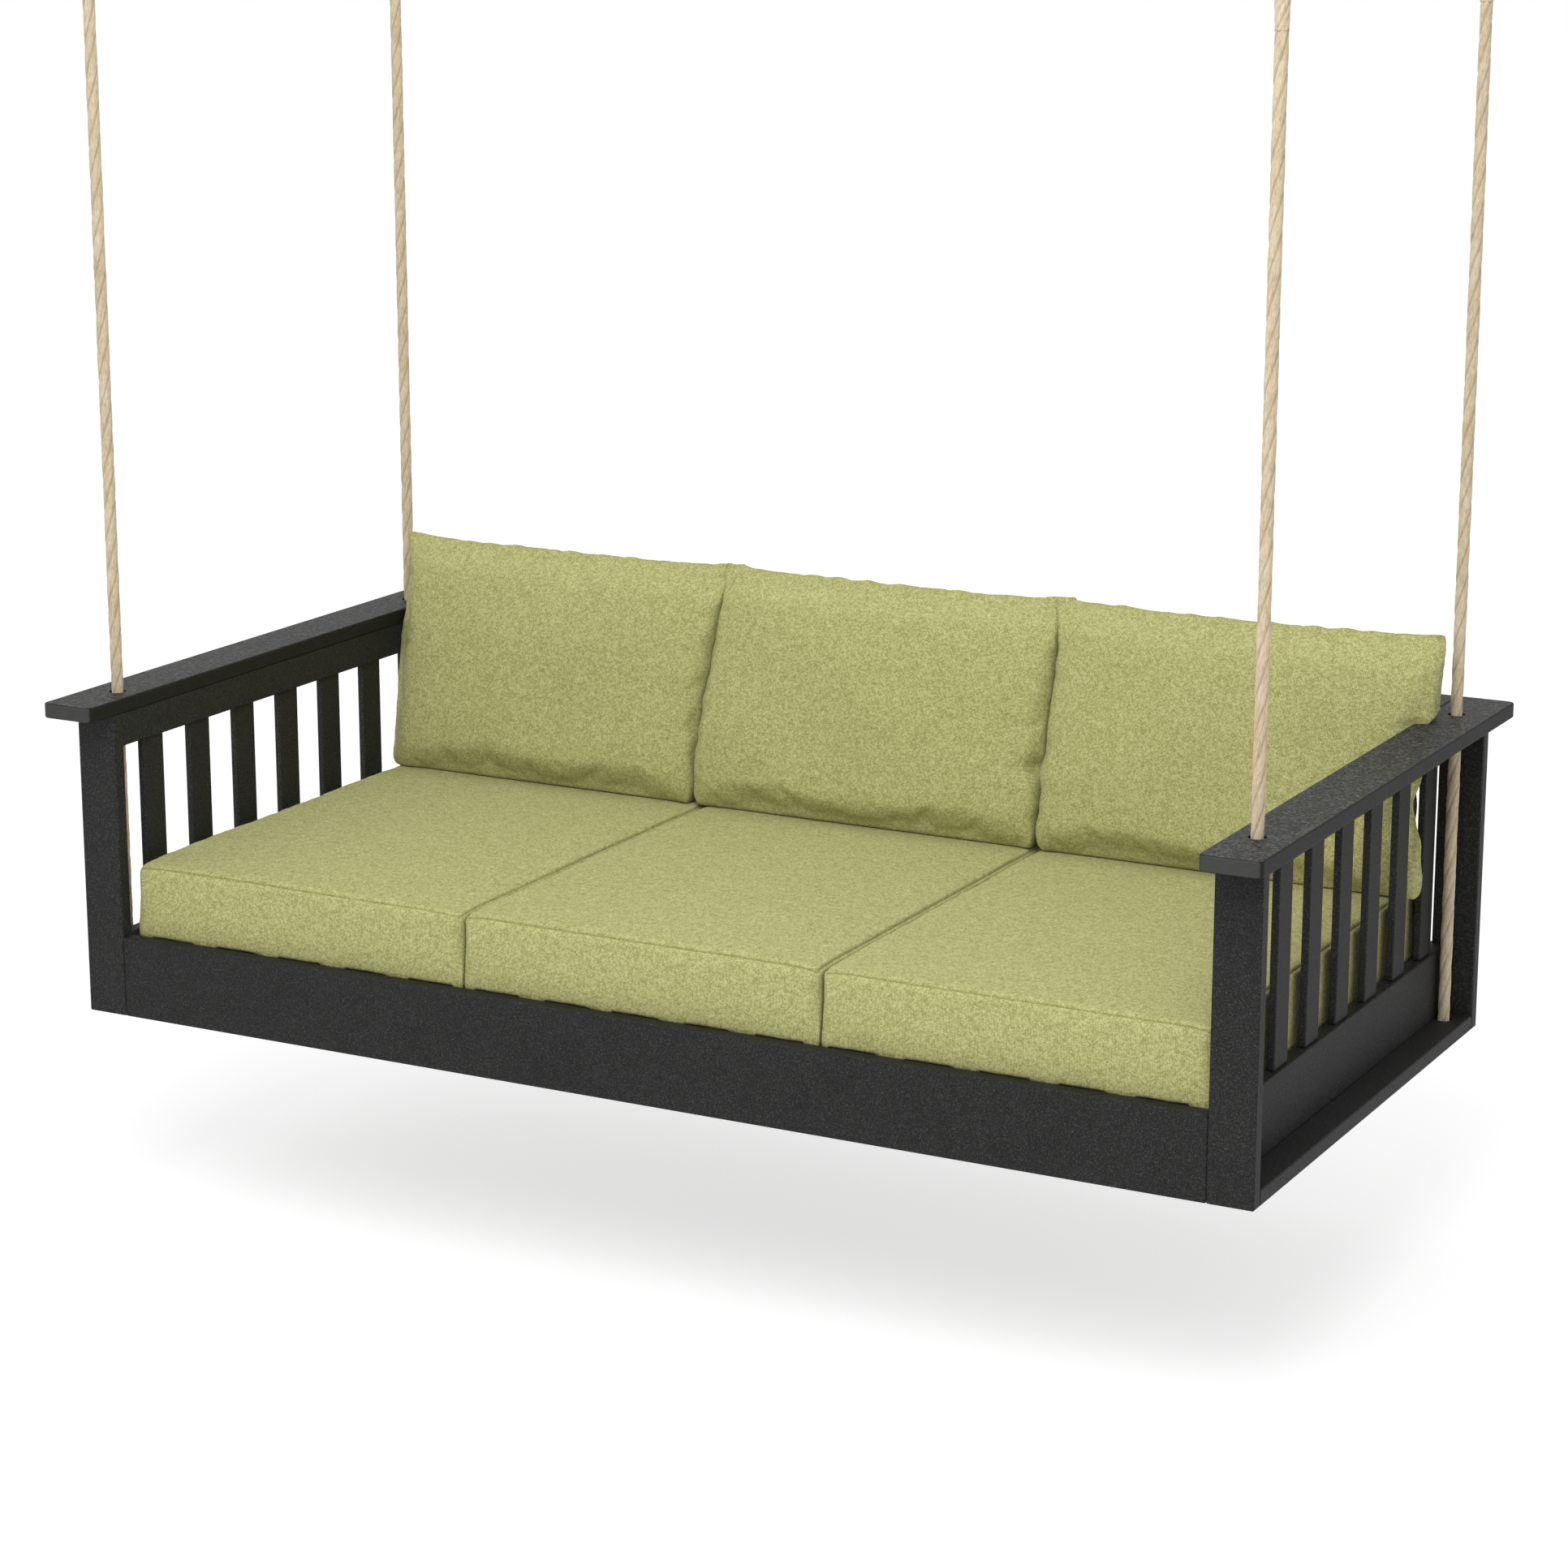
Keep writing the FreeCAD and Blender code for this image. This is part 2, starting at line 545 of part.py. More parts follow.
for sy in (-1, 1):
    tools.append(Part.makeCylinder(V["lag_hole"] / 2, 20,
                                   Base.Vector(0, sy * V["lag_spacing"] / 2, -15)))
bracket = top.cut(tools)
group_of("ceiling_hangers", bracket)


def hexagon(across, thick, x0):
    r = across / math.sqrt(3)
    pts = [Base.Vector(x0, r * math.cos(math.radians(60 * i)),
                       PIN_Z + r * math.sin(math.radians(60 * i))) for i in range(6)]
    face = Part.Face(Part.makePolygon(pts + pts[:1]))
    return face.extrude(Base.Vector(thick, 0, 0))


reach = gap + steel
bolt = Part.makeCylinder(V["bolt_size"] / 2, 2 * reach + 14, Base.Vector(-reach, 0, PIN_Z),
                         Base.Vector(1, 0, 0))
bolt = bolt.fuse(hexagon(19.0, 7.5, -reach - 7.5)).removeSplitter()
group_of("hanger_bolts", bolt)
nut = hexagon(19.0, 12.0, reach).cut(
    Part.makeCylinder(V["bolt_size"] / 2 + 0.05, 20, Base.Vector(reach - 2, 0, PIN_Z),
                      Base.Vector(1, 0, 0)))
group_of("hanger_nuts", nut)

# ---------------------------------------------------------------- check and write
doc.recompute()
for obj in parts:
    if obj.Label.endswith("_upper_rope"):
        # run and half ball, splice taper over the run, and the eye's ring less the joint
        plain = math.pi * rope_r ** 2
        least = plain * (PIN_Z - BEND_Z - eye_r) + 0.85 * plain * 2 * math.pi * eye_r
        assert least < obj.Shape.Volume < 1.2 * least, (obj.Label, obj.Shape.Volume, least)
for obj in doc.Objects:
    if "Invalid" in obj.State or "Error" in obj.State:
        raise RuntimeError(f"{obj.Label}: {obj.State}")
labels = [p.Label for p in parts]
assert len(labels) == len(set(labels)), "two parts share a label"
assert len(parts) <= 60, len(parts)
for obj in parts:
    shape = obj.Shape
    if shape.isNull() or not shape.isValid() or not shape.Solids:
        raise RuntimeError(f"{obj.Label} has no valid solid")
    box = shape.BoundBox
    shape.exportStep(f"parts/{obj.Label}.step")
    print(f"{obj.Label:26s} solids {len(shape.Solids):3d}  volume {shape.Volume / 1e6:8.3f} l  "
          f"x {box.XMin:8.1f} {box.XMax:8.1f}  y {box.YMin:8.1f} {box.YMax:8.1f}  "
          f"z {box.ZMin:8.1f} {box.ZMax:8.1f}")
print(len(parts), f"parts; each rope runs straight, {PIN_Z - BEND_Z:.1f} mm from bend to bolt,",
      f"plain run {math.pi * rope_r ** 2 * (PIN_Z - BEND_Z - eye_r) / 1e6:.3f} l")
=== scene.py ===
import json
import math

import bpy
import numpy as np
from mathutils import Matrix, Vector, noise


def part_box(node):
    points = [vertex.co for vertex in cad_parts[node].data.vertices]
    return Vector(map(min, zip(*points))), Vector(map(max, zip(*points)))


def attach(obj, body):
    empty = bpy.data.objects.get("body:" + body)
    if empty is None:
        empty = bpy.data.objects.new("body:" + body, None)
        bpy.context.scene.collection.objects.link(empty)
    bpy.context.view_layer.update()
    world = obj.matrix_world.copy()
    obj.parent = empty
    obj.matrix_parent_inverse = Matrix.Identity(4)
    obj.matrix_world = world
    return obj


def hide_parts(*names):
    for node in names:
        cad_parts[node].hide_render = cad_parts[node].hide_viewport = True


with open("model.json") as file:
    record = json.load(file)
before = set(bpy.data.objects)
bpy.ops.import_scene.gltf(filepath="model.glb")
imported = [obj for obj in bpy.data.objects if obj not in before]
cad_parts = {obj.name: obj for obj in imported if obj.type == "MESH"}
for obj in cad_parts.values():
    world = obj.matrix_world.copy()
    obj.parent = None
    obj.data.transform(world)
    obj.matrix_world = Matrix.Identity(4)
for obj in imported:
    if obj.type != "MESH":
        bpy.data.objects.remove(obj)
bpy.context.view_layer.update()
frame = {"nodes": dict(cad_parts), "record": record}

scene = bpy.context.scene
record = frame["record"]


def link(obj):
    scene.collection.objects.link(obj)
    return obj


# ------------------------------------------------------------------ camera
CAMERA_AT = (3.0269, -5.6817, 0.0438)
CAMERA_AXES = ((0.883231, 0.468939, 0.000025),     # to the picture's right
               (-0.113919, 0.214511, 0.970055),    # to its top
               (0.454891, -0.856785, 0.242884))    # towards the viewer
FOCAL_LENGTH = 90.52                               # mm on a 36 mm sensor

camera = link(bpy.data.objects.new("camera", bpy.data.cameras.new("camera")))
camera.matrix_world = Matrix([(*column, 0) for column in CAMERA_AXES]
                             + [(*CAMERA_AT, 1)]).transposed()
camera.data.sensor_width = 36.0
camera.data.lens = FOCAL_LENGTH
camera.data.clip_end = 60.0
scene.camera = camera
scene.view_settings.view_transform = "Standard"

# ------------------------------------------------------------------ places from the frame
SEAT = "seat"                                  # the body that the frame and cushions ride on
CORNERS = [(end, side) for end in ("front", "rear") for side in ("left", "right")]
NAMES = ("left", "middle", "right")            # the cushions of a row
ROPE = 0.020                                   # rope diameter
BOARD_BOTTOM = -1.980                          # underside of the rope boards
POST_HEIGHT, BOARD = 0.527, 0.0254             # posts, and the thickness of an armrest
BEND_Z = BOARD_BOTTOM + POST_HEIGHT + BOARD / 2    # each rope bends inside its armrest hole
ARM_TOP = BOARD_BOTTOM + POST_HEIGHT + BOARD
CAP_FLOOR = BOARD_BOTTOM - 0.009               # where a rope's lower end stops in its cap
PIN_Z = -0.046                                 # hanger bolts
SPLICE = (-0.225, -0.150, -0.084)              # an eye splice's route, over the hanger bolt
# the route of an upper rope past its straight stretch: up to the thimble's throat, once round it
# and back down into the splice, as (distance to the back, height over the hanger bolt)
EYE_ROUTE = [(0, -0.120), (0, -0.062), (-0.027, -0.0156), (-0.027, 0.0156), (0, 0.0312),
             (0.027, 0.0156), (0.027, -0.0156), (0.002, -0.062), (0.003, -0.100)]


def rope_place(end, side):
    lo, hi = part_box(f"{end}_{side}_thimble")
    return (lo[0] + hi[0]) / 2, (lo[1] + hi[1]) / 2


# ------------------------------------------------------------------ node helpers
class Nodes:
    """Short way to write a material's node tree."""

    def __init__(self, name):
        self.mat = bpy.data.materials.new(name)
        self.mat.use_nodes = True
        self.tree = self.mat.node_tree
        self.tree.nodes.clear()
        self.out = self.tree.nodes.new("ShaderNodeOutputMaterial")

    def add(self, kind, **inputs):
        node = self.tree.nodes.new(kind)
        for key, value in inputs.items():
            key = key.replace("_", " ")
            if isinstance(value, bpy.types.NodeSocket):
                self.tree.links.new(value, node.inputs[key])
            else:
                node.inputs[key].default_value = value
        return node

    def math(self, op, a, b=0.0, c=0.0, clamp=False):
        node = self.tree.nodes.new("ShaderNodeMath")
        node.operation, node.use_clamp = op, clamp
        for i, value in enumerate((a, b, c)):
            if isinstance(value, bpy.types.NodeSocket):
                self.tree.links.new(value, node.inputs[i])
            else:
                node.inputs[i].default_value = value
        return node.outputs[0]

    def ramp(self, fac, stops):
        node = self.tree.nodes.new("ShaderNodeValToRGB")
        self.tree.links.new(fac, node.inputs[0])
        while len(node.color_ramp.elements) < len(stops):
            node.color_ramp.elements.new(0.5)
        for element, (at, colour) in zip(node.color_ramp.elements, stops):
            element.position = at
            element.color = (*colour, 1.0)
        return node.outputs[0]

    def mix(self, fac, a, b):
        node = self.tree.nodes.new("ShaderNodeMix")
        node.data_type = "RGBA"
        for key, value in ((0, fac), (6, a), (7, b)):
            if isinstance(value, bpy.types.NodeSocket):
                self.tree.links.new(value, node.inputs[key])
            else:
                node.inputs[key].default_value = value if key == 0 else (*value, 1.0)
        return node.outputs[2]

    def attribute(self, name, output="Fac"):
        node = self.tree.nodes.new("ShaderNodeAttribute")
        node.attribute_name = name
        return node.outputs[output]

    def coords(self, scale=(1, 1, 1), turn=(0, 0, 0), attribute=None):
        if attribute:
            vector = self.attribute(attribute, "Vector")
        else:
            vector = self.tree.nodes.new("ShaderNodeTexCoord").outputs["Object"]
        mapping = self.add("ShaderNodeMapping", Vector=vector, Scale=scale, Rotation=turn)
        return mapping.outputs[0]

    def white(self, u, v):
        cell = self.add("ShaderNodeCombineXYZ", X=self.math("FLOOR", u), Y=self.math("FLOOR", v))
        return self.add("ShaderNodeTexWhiteNoise", Vector=cell.outputs[0]).outputs["Value"]

    def noise(self, vector, scale, detail=3.0, rough=0.55):
        return self.add("ShaderNodeTexNoise", Vector=vector, Scale=scale, Detail=detail,
                        Roughness=rough).outputs["Fac"]

    def bump(self, height, distance, strength):
        return self.add("ShaderNodeBump", Height=height, Distance=distance,
                        Strength=strength).outputs[0]

    def finish(self, base, rough, normal, **more):
        shader = self.add("ShaderNodeBsdfPrincipled", Base_Color=base, Roughness=rough,
                          Normal=normal, **more)
        self.tree.links.new(shader.outputs[0], self.out.inputs[0])
        return self.mat


# ------------------------------------------------------------------ materials
def lumber(name, tone, shift):
    """Charcoal plastic lumber: pebbled faces with small bright specks, faint cloudy tone."""
    n = Nodes(name)
    at = n.coords()
    grain = n.noise(at, 400.0, 2.0, 0.7)
    fine = n.noise(at, 1300.0, 1.0, 0.5)
    cloud = n.noise(n.coords(turn=(shift, shift, 0)), 7.0, 3.0)
    base = n.ramp(grain, ((0.32, tuple(tone * v for v in (0.35, 0.35, 0.33))),
                          (0.50, tuple(tone * v for v in (1.0, 1.0, 0.97))),
                          (0.60, tuple(tone * v for v in (1.9, 1.9, 1.85))),
                          (0.74, tuple(tone * v for v in (5.0, 5.0, 4.9)))))
    base = n.mix(n.math("MULTIPLY", cloud, 0.30), base, (0.0, 0.0, 0.0))
    height = n.math("ADD", n.math("MULTIPLY", grain, 0.8), n.math("MULTIPLY", fine, 0.2))
    rough = n.math("ADD", n.math("MULTIPLY", grain, 0.16), 0.46)
    return n.finish(base, rough, n.bump(height, 0.0024, 0.9), Specular_IOR_Level=0.22)


def cap_lumber(name):
    """Armrests and back cap: pebbled tops and smooth routed sides; side faces turned along x are
    painted darker as painted shade, those turned along y, such as the armrests' ends, paler as
    painted light.
    """
    n = Nodes(name)
    at = n.coords(scale=(0.50, 0.50, 0.50))
    normal = n.tree.nodes.new("ShaderNodeTexCoord").outputs["Normal"]
    split = n.add("ShaderNodeSeparateXYZ", Vector=normal)
    flat = n.math("MULTIPLY", n.math("SUBTRACT", n.math("ABSOLUTE", split.outputs[2]), 0.90),
                  12.0, clamp=True)
    grain = n.noise(at, 400.0, 2.0, 0.7)
    face = n.ramp(grain, ((0.40, (0.013, 0.013, 0.013)), (0.50, (0.031, 0.031, 0.030)),
                          (0.57, (0.053, 0.053, 0.051)), (0.66, (0.098, 0.098, 0.094))))
    streak = n.noise(n.coords(scale=(1, 1, 3)), 60.0, 3.0)
    # painted shade: faces turned along x get this darker tone; painted light: faces turned along y
    # get the paler tone below
    edge = n.ramp(streak, ((0.3, (0.010, 0.010, 0.010)), (0.7, (0.014, 0.014, 0.013))))
    painted_end_light = n.ramp(streak, ((0.3, (0.042, 0.042, 0.041)), (0.7, (0.049, 0.049, 0.047))))
    end = n.math("MULTIPLY", n.math("SUBTRACT", n.math("ABSOLUTE", split.outputs[1]), 0.6),
                 5.0, clamp=True)
    base = n.mix(flat, n.mix(end, edge, painted_end_light), face)
    height = n.math("MULTIPLY", grain, n.math("ADD", n.math("MULTIPLY", flat, 0.88), 0.12))
    rough = n.math("ADD", n.math("MULTIPLY", grain, 0.14), 0.44)
    return n.finish(base, rough, n.bump(height, 0.0024, 0.9), Specular_IOR_Level=0.13)


def woven(name):
    """Heathered two-tone weave set on the bias, laid out in metres by the mesh's own
    'weave' attribute: round light yarns, dark pinholes, and yarns that vary in tone."""
    n = Nodes(name)
    pitch = 2.7e-3                                          # metres from yarn to yarn
    bias = (0, 0, math.radians(45))
    turn = n.coords(scale=(1 / pitch, 1 / pitch, 1), attribute="weave", turn=bias)
    wobble = n.noise(turn, 0.30, 2.0)
    split = n.add("ShaderNodeSeparateXYZ", Vector=turn)
    u = n.math("ADD", split.outputs[0], n.math("MULTIPLY", wobble, 0.9))
    v = n.math("ADD", split.outputs[1], n.math("MULTIPLY", wobble, -0.8))
    su = n.math("SINE", n.math("MULTIPLY", u, math.pi * 2))
    sv = n.math("SINE", n.math("MULTIPLY", v, math.pi * 2))
    over = n.math("MULTIPLY", su, sv)                       # which yarn lies on top
    ridge = n.math("ADD", n.math("MULTIPLY", over, 0.5), 0.5)
    warp = n.noise(n.coords(scale=(250, 760, 1), attribute="weave", turn=bias), 1.0, 2.0, 0.7)
    weft = n.noise(n.coords(scale=(760, 250, 1), attribute="weave", turn=bias), 1.0, 2.0, 0.7)
    yarn = n.math("ADD", n.math("MULTIPLY", warp, 0.55), n.math("MULTIPLY", weft, 0.45))
    chance = n.white(u, v)
    fleck = n.white(n.math("MULTIPLY", u, 0.41), n.math("MULTIPLY", v, 0.43))
    mottle = n.noise(n.coords(scale=(0.8, 1.2, 1), attribute="weave"), 55.0, 3.0, 0.6)
    tone = n.math("MULTIPLY", ridge, 0.30)
    for layer, weight in ((yarn, 0.60), (chance, 0.17), (fleck, 0.06), (mottle, 0.10)):
        tone = n.math("ADD", tone, n.math("MULTIPLY", layer, weight))
    base = n.ramp(n.math("SUBTRACT", tone, 0.105),
                  ((0.14, (0.095, 0.098, 0.022)), (0.40, (0.260, 0.257, 0.087)),
                   (0.54, (0.385, 0.377, 0.155)), (0.86, (0.70, 0.70, 0.40))))
    # painted shade: darker along the seams, as much as the 'crease' attribute says
    base = n.mix(n.math("MULTIPLY", n.attribute("crease"), 0.55), base, (0.10, 0.10, 0.03))
    height = n.math("ADD", n.math("MULTIPLY", ridge, 0.7), n.math("MULTIPLY", yarn, 0.6))
    return n.finish(base, 0.92, n.bump(height, 0.0006, 0.45), Specular_IOR_Level=0.12,
                    Sheen_Weight=0.05, Sheen_Roughness=0.5)


def twisted(name):
    """Natural three-strand rope: fibres close to the rope's axis, with painted shade in the
    grooves.
    """
    n = Nodes(name)
    lay = n.coords(scale=(1, 1, 0.10), attribute="lay")
    fibre = n.noise(lay, 1500.0, 3.0, 0.65)
    yarn = n.noise(n.coords(scale=(1, 1, 0.16), attribute="lay"), 480.0, 2.0)
    cloud = n.noise(n.coords(), 22.0, 3.0)
    tone = n.math("ADD", n.math("MULTIPLY", fibre, 0.45),
                  n.math("ADD", n.math("MULTIPLY", yarn, 0.35), n.math("MULTIPLY", cloud, 0.2)))
    base = n.ramp(tone, ((0.32, (0.285, 0.213, 0.128)), (0.5, (0.520, 0.424, 0.285)),
                         (0.68, (0.688, 0.602, 0.455))))
    # painted shade in the grooves between the strands
    base = n.mix(n.math("MULTIPLY", n.attribute("groove"), 0.50), base, (0.20, 0.14, 0.075))
    height = n.math("ADD", n.math("MULTIPLY", fibre, 0.5), n.math("MULTIPLY", yarn, 0.5))
    return n.finish(base, 0.9, n.bump(height, 0.0009, 0.8), Specular_IOR_Level=0.15,
                    Sheen_Weight=0.25)


def metal(name, colour, rough, speck=0.10, metallic=1.0):
    n = Nodes(name)
    a = n.noise(n.coords(), 90.0, 4.0)
    b = n.noise(n.coords(), 900.0, 2.0)
    base = n.mix(n.math("MULTIPLY", a, speck * 4), colour, tuple(c * 0.6 for c in colour))
    r = n.math("ADD", n.math("MULTIPLY", a, 0.22), rough - 0.11)
    return n.finish(base, r, n.bump(b, 0.0002, 0.5), Metallic=metallic)


LUMBER = [lumber(f"plastic_lumber_{i}", tone, i * 0.7) for i, tone in
          enumerate((0.0150, 0.0157, 0.0164))]
CAP = cap_lumber("routed_plastic_lumber_painted_light_and_shade")
FABRIC = woven("olive_weave")
ROPE_MAT = twisted("natural_rope")
ZINC = metal("zinc_plated_steel", (0.60, 0.60, 0.58), 0.38)
GALV = metal("galvanised_steel", (0.52, 0.53, 0.54), 0.48, 0.16)
BLACK = metal("black_powder_coat", (0.022, 0.022, 0.022), 0.5, metallic=0.0)


def dress(name, mat):
    data = frame["nodes"][name].data
    if not data.materials:
        data.materials.append(mat)
    for slot in frame["nodes"][name].material_slots:
        slot.material = mat


SLOT_OF = {p["node"]: p["material_slot"] for p in record["subparts"]}
for i, (name, slot) in enumerate(sorted(SLOT_OF.items())):
    if slot == "board":
        capped = name.endswith("armrest") or name == "back_cap"
        dress(name, CAP if capped else LUMBER[i % 3])
    elif slot == "steel":
        dress(name, ZINC)
    elif slot == "thimble_steel":
        dress(name, GALV)
    elif slot == "hanger_steel":
        dress(name, BLACK if name == "ceiling_hangers" else ZINC)


# ------------------------------------------------------------------ mesh helpers
def mesh_object(name, verts, faces, mat, smooth=True):
    mesh = bpy.data.meshes.new(name)
    mesh.from_pydata([tuple(v) for v in verts], [], faces)
    mesh.update()
    if smooth:
        mesh.polygons.foreach_set("use_smooth", [True] * len(mesh.polygons))
    mesh.materials.append(mat)
    return link(bpy.data.objects.new(name, mesh))


def route_line(points, step):
    """Even points along the smooth NURBS line of a rope's route."""
    curve = bpy.data.curves.new("route", "CURVE")
    curve.dimensions = "3D"
    spline = curve.splines.new("NURBS")
    spline.points.add(len(points) - 1)
    for point, co in zip(spline.points, points):
        point.co = (*co, 1.0)
    spline.order_u = 3
    spline.use_endpoint_u = True
    spline.resolution_u = 24
    holder = link(bpy.data.objects.new("route", curve))
    bpy.context.view_layer.update()
    mesh = bpy.data.meshes.new_from_object(holder)
    line = np.array([v.co[:] for v in mesh.vertices])
    bpy.data.objects.remove(holder)
    bpy.data.curves.remove(curve)
    bpy.data.meshes.remove(mesh)
    run = np.concatenate([[0], np.cumsum(np.linalg.norm(np.diff(line, axis=0), axis=1))])
    at = np.linspace(0, run[-1], max(2, int(run[-1] / step) + 1))
    return np.stack([np.interp(at, run, line[:, i]) for i in range(3)], axis=1), run[-1]


def twisted_tube(name, line, radius, strands=3, lay=0.165, sides=42, seed=0, taper=None,
                 cut=0.11):
    """A laid rope: a round section with a narrow groove between its strands, turning along
    the line, with a little fuzz."""
    verts, grooves, lays = [], [], []
    tangent = np.gradient(line, axis=0)
    tangent /= np.linalg.norm(tangent, axis=1)[:, None]
    side = np.array((1.0, 0.0, 0.0))
    side = side - tangent[0] * side.dot(tangent[0])
    side /= np.linalg.norm(side)
    walked = 0.0
    half = math.pi / strands                                # groove to crown
    for i, p in enumerate(line):
        if i:
            walked += np.linalg.norm(p - line[i - 1])
            side = side - tangent[i] * side.dot(tangent[i])
            side /= np.linalg.norm(side)
        other = np.cross(tangent[i], side)
        spin = 2 * math.pi * walked / lay + seed
        full = radius * (taper(walked) if taper else 1.0)
        for k in range(sides):
            phi = 2 * math.pi * k / sides
            a = abs((phi - spin) % (2 * half) - half)        # 0 on a crown, half in a groove
            deep = math.exp(-((half - a) / (0.17 * 3 / strands)) ** 2)
            r = 1.0 - 0.05 * (a / half) ** 2 - cut * deep
            away = math.cos(phi) * side + math.sin(phi) * other
            q = p + full * r * away
            fuzz = noise.noise(Vector(q) * 420) * 0.00045 + noise.noise(Vector(q) * 30) * 0.0006
            verts.append(q + fuzz * away)
            # how deep in a groove each point lies; the rope's material paints shade there
            grooves.append(deep)
            lays.append((radius * math.cos(phi - spin * 0.35), radius * math.sin(phi - spin * 0.35),
                         walked))
    faces = []
    rings = len(line)
    for i in range(rings - 1):
        for k in range(sides):
            a, b = i * sides + k, i * sides + (k + 1) % sides
            faces.append((a, b, b + sides, a + sides))
    verts += [line[0], line[-1]]
    grooves += [0, 0]
    lays += [(0, 0, 0), (0, 0, walked)]
    first, last = len(verts) - 2, len(verts) - 1
    for k in range(sides):
        faces.append((first, (k + 1) % sides, k))
        faces.append((last, (rings - 1) * sides + k, (rings - 1) * sides + (k + 1) % sides))
    obj = mesh_object(name, verts, faces, ROPE_MAT)
    obj.data.attributes.new("groove", "FLOAT", "POINT").data.foreach_set("value", grooves)
    obj.data.attributes.new("lay", "FLOAT_VECTOR", "POINT").data.foreach_set(
        "vector", np.array(lays, dtype=np.float32).ravel())
    return obj


# ------------------------------------------------------------------ ropes
for index, (end, side) in enumerate(CORNERS):
    x, y = rope_place(end, side)
    name = f"{end}_{side}"
    node_up, node_low = f"{name}_upper_rope", f"{name}_lower_rope"
    # upper rope: straight up to the throat, once round the thimble, back down to the splice
    route = [(x, y, BEND_Z)] + [(x, y + back, PIN_Z + rise) for back, rise in EYE_ROUTE]
    line, long = route_line(route, 0.004)
    rope = twisted_tube(f"{name}_rope", line, ROPE / 2, seed=index * 1.7)
    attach(rope, f"rope_{name}")
    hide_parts(node_up)
    # eye splice: the tail's strands tucked back into the standing rope
    splice_line, _ = route_line([(x, y, PIN_Z + rise) for rise in SPLICE], 0.003)
    splice = twisted_tube(f"{name}_eye_splice", splice_line, ROPE / 2 + 0.0028, strands=6,
                          lay=0.120, sides=48, seed=index, cut=0.12,
                          taper=lambda d: 0.80 + 0.20 * min(1.0, d / 0.11))
    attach(splice, f"rope_{name}")
    # lower rope: from the bend down through the rope board into its steel end cap
    low_exit = (x, y, BEND_Z - ROPE / 2 - 0.0005)
    low, low_long = route_line([low_exit, (x, y, (BEND_Z + BOARD_BOTTOM) / 2),
                                (x, y, CAP_FLOOR)], 0.004)
    tail = twisted_tube(f"{name}_rope_tail", low, ROPE / 2, seed=index * 1.7 + 2.0)
    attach(tail, SEAT)
    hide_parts(node_low)


# ------------------------------------------------------------------ cushion helpers
def set_cloth(obj, cloth, crease):
    """The fabric's own coordinates at the faces' corners, and how much painted shade lies along
    each seam.
    """
    data = obj.data.attributes.new("weave", "FLOAT_VECTOR", "CORNER").data
    data.foreach_set("vector", np.array(cloth, dtype=np.float32).ravel())
    obj.data.attributes.new("crease", "FLOAT", "POINT").data.foreach_set(
        "value", np.clip(crease, 0, 1).astype(np.float32))


def declare_cushion(obj, node):
    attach(obj, SEAT)
    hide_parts(node)


def fbm(points, scale, seed):
    """Two octaves of noise at each point."""
    out = np.zeros(len(points))
    for octave in range(2):
        f = scale * 2 ** octave
        out += np.array([noise.noise(Vector((p[0] * f + seed, p[1] * f - seed, p[2] * f)))
                         for p in points]) / 2 ** octave
    return out


def row_noise(values, scale, seed):
    return np.array([noise.noise(Vector((v * scale, seed, seed * 0.37))) for v in values])


def ramp(values, start, end):
    """0 before start, 1 after end, smooth between."""
    t = np.clip((values - start) / (end - start), 0, 1)
    return t * t * (3 - 2 * t)


def press(values, limit, sign, room, depth):
    """Presses values against a plane at limit, softly over the last bit of room."""
    gap = sign * (limit - values)
    pressed = np.where(gap > room, gap, room * np.exp(np.clip(gap / room - 1, -depth, 0)))
    return limit - sign * pressed


# ------------------------------------------------------------------ seat cushions
SLAT, SLATS = 0.0889, 15                       # seat slats, front to back
EDGE_ZONE, FINE, COARSE = 0.030, 0.0028, 0.009     # grid: fine near a box's edges, coarse between
TOP_EDGE, LOW_EDGE = 0.015, 0.003              # radius of the upper and the lower edges
SEAM_BAND, SEAM_WIDTH = 0.022, 0.0021          # ripples beside a seam, and its groove
BACK_FOOT = 0.24                               # the back cushions stand behind here


def smooth_steps(half):
    """Grid positions across -half..half, close together near both ends."""
    inner = half - EDGE_ZONE
    n_edge, n_mid = max(2, round(EDGE_ZONE / FINE)), max(2, round(2 * inner / COARSE))
    a = np.linspace(-half, -inner, n_edge, endpoint=False)
    b = np.linspace(-inner, inner, n_mid, endpoint=False)
    c = np.linspace(inner, half, n_edge + 1)
    return np.concatenate([a, b, c])


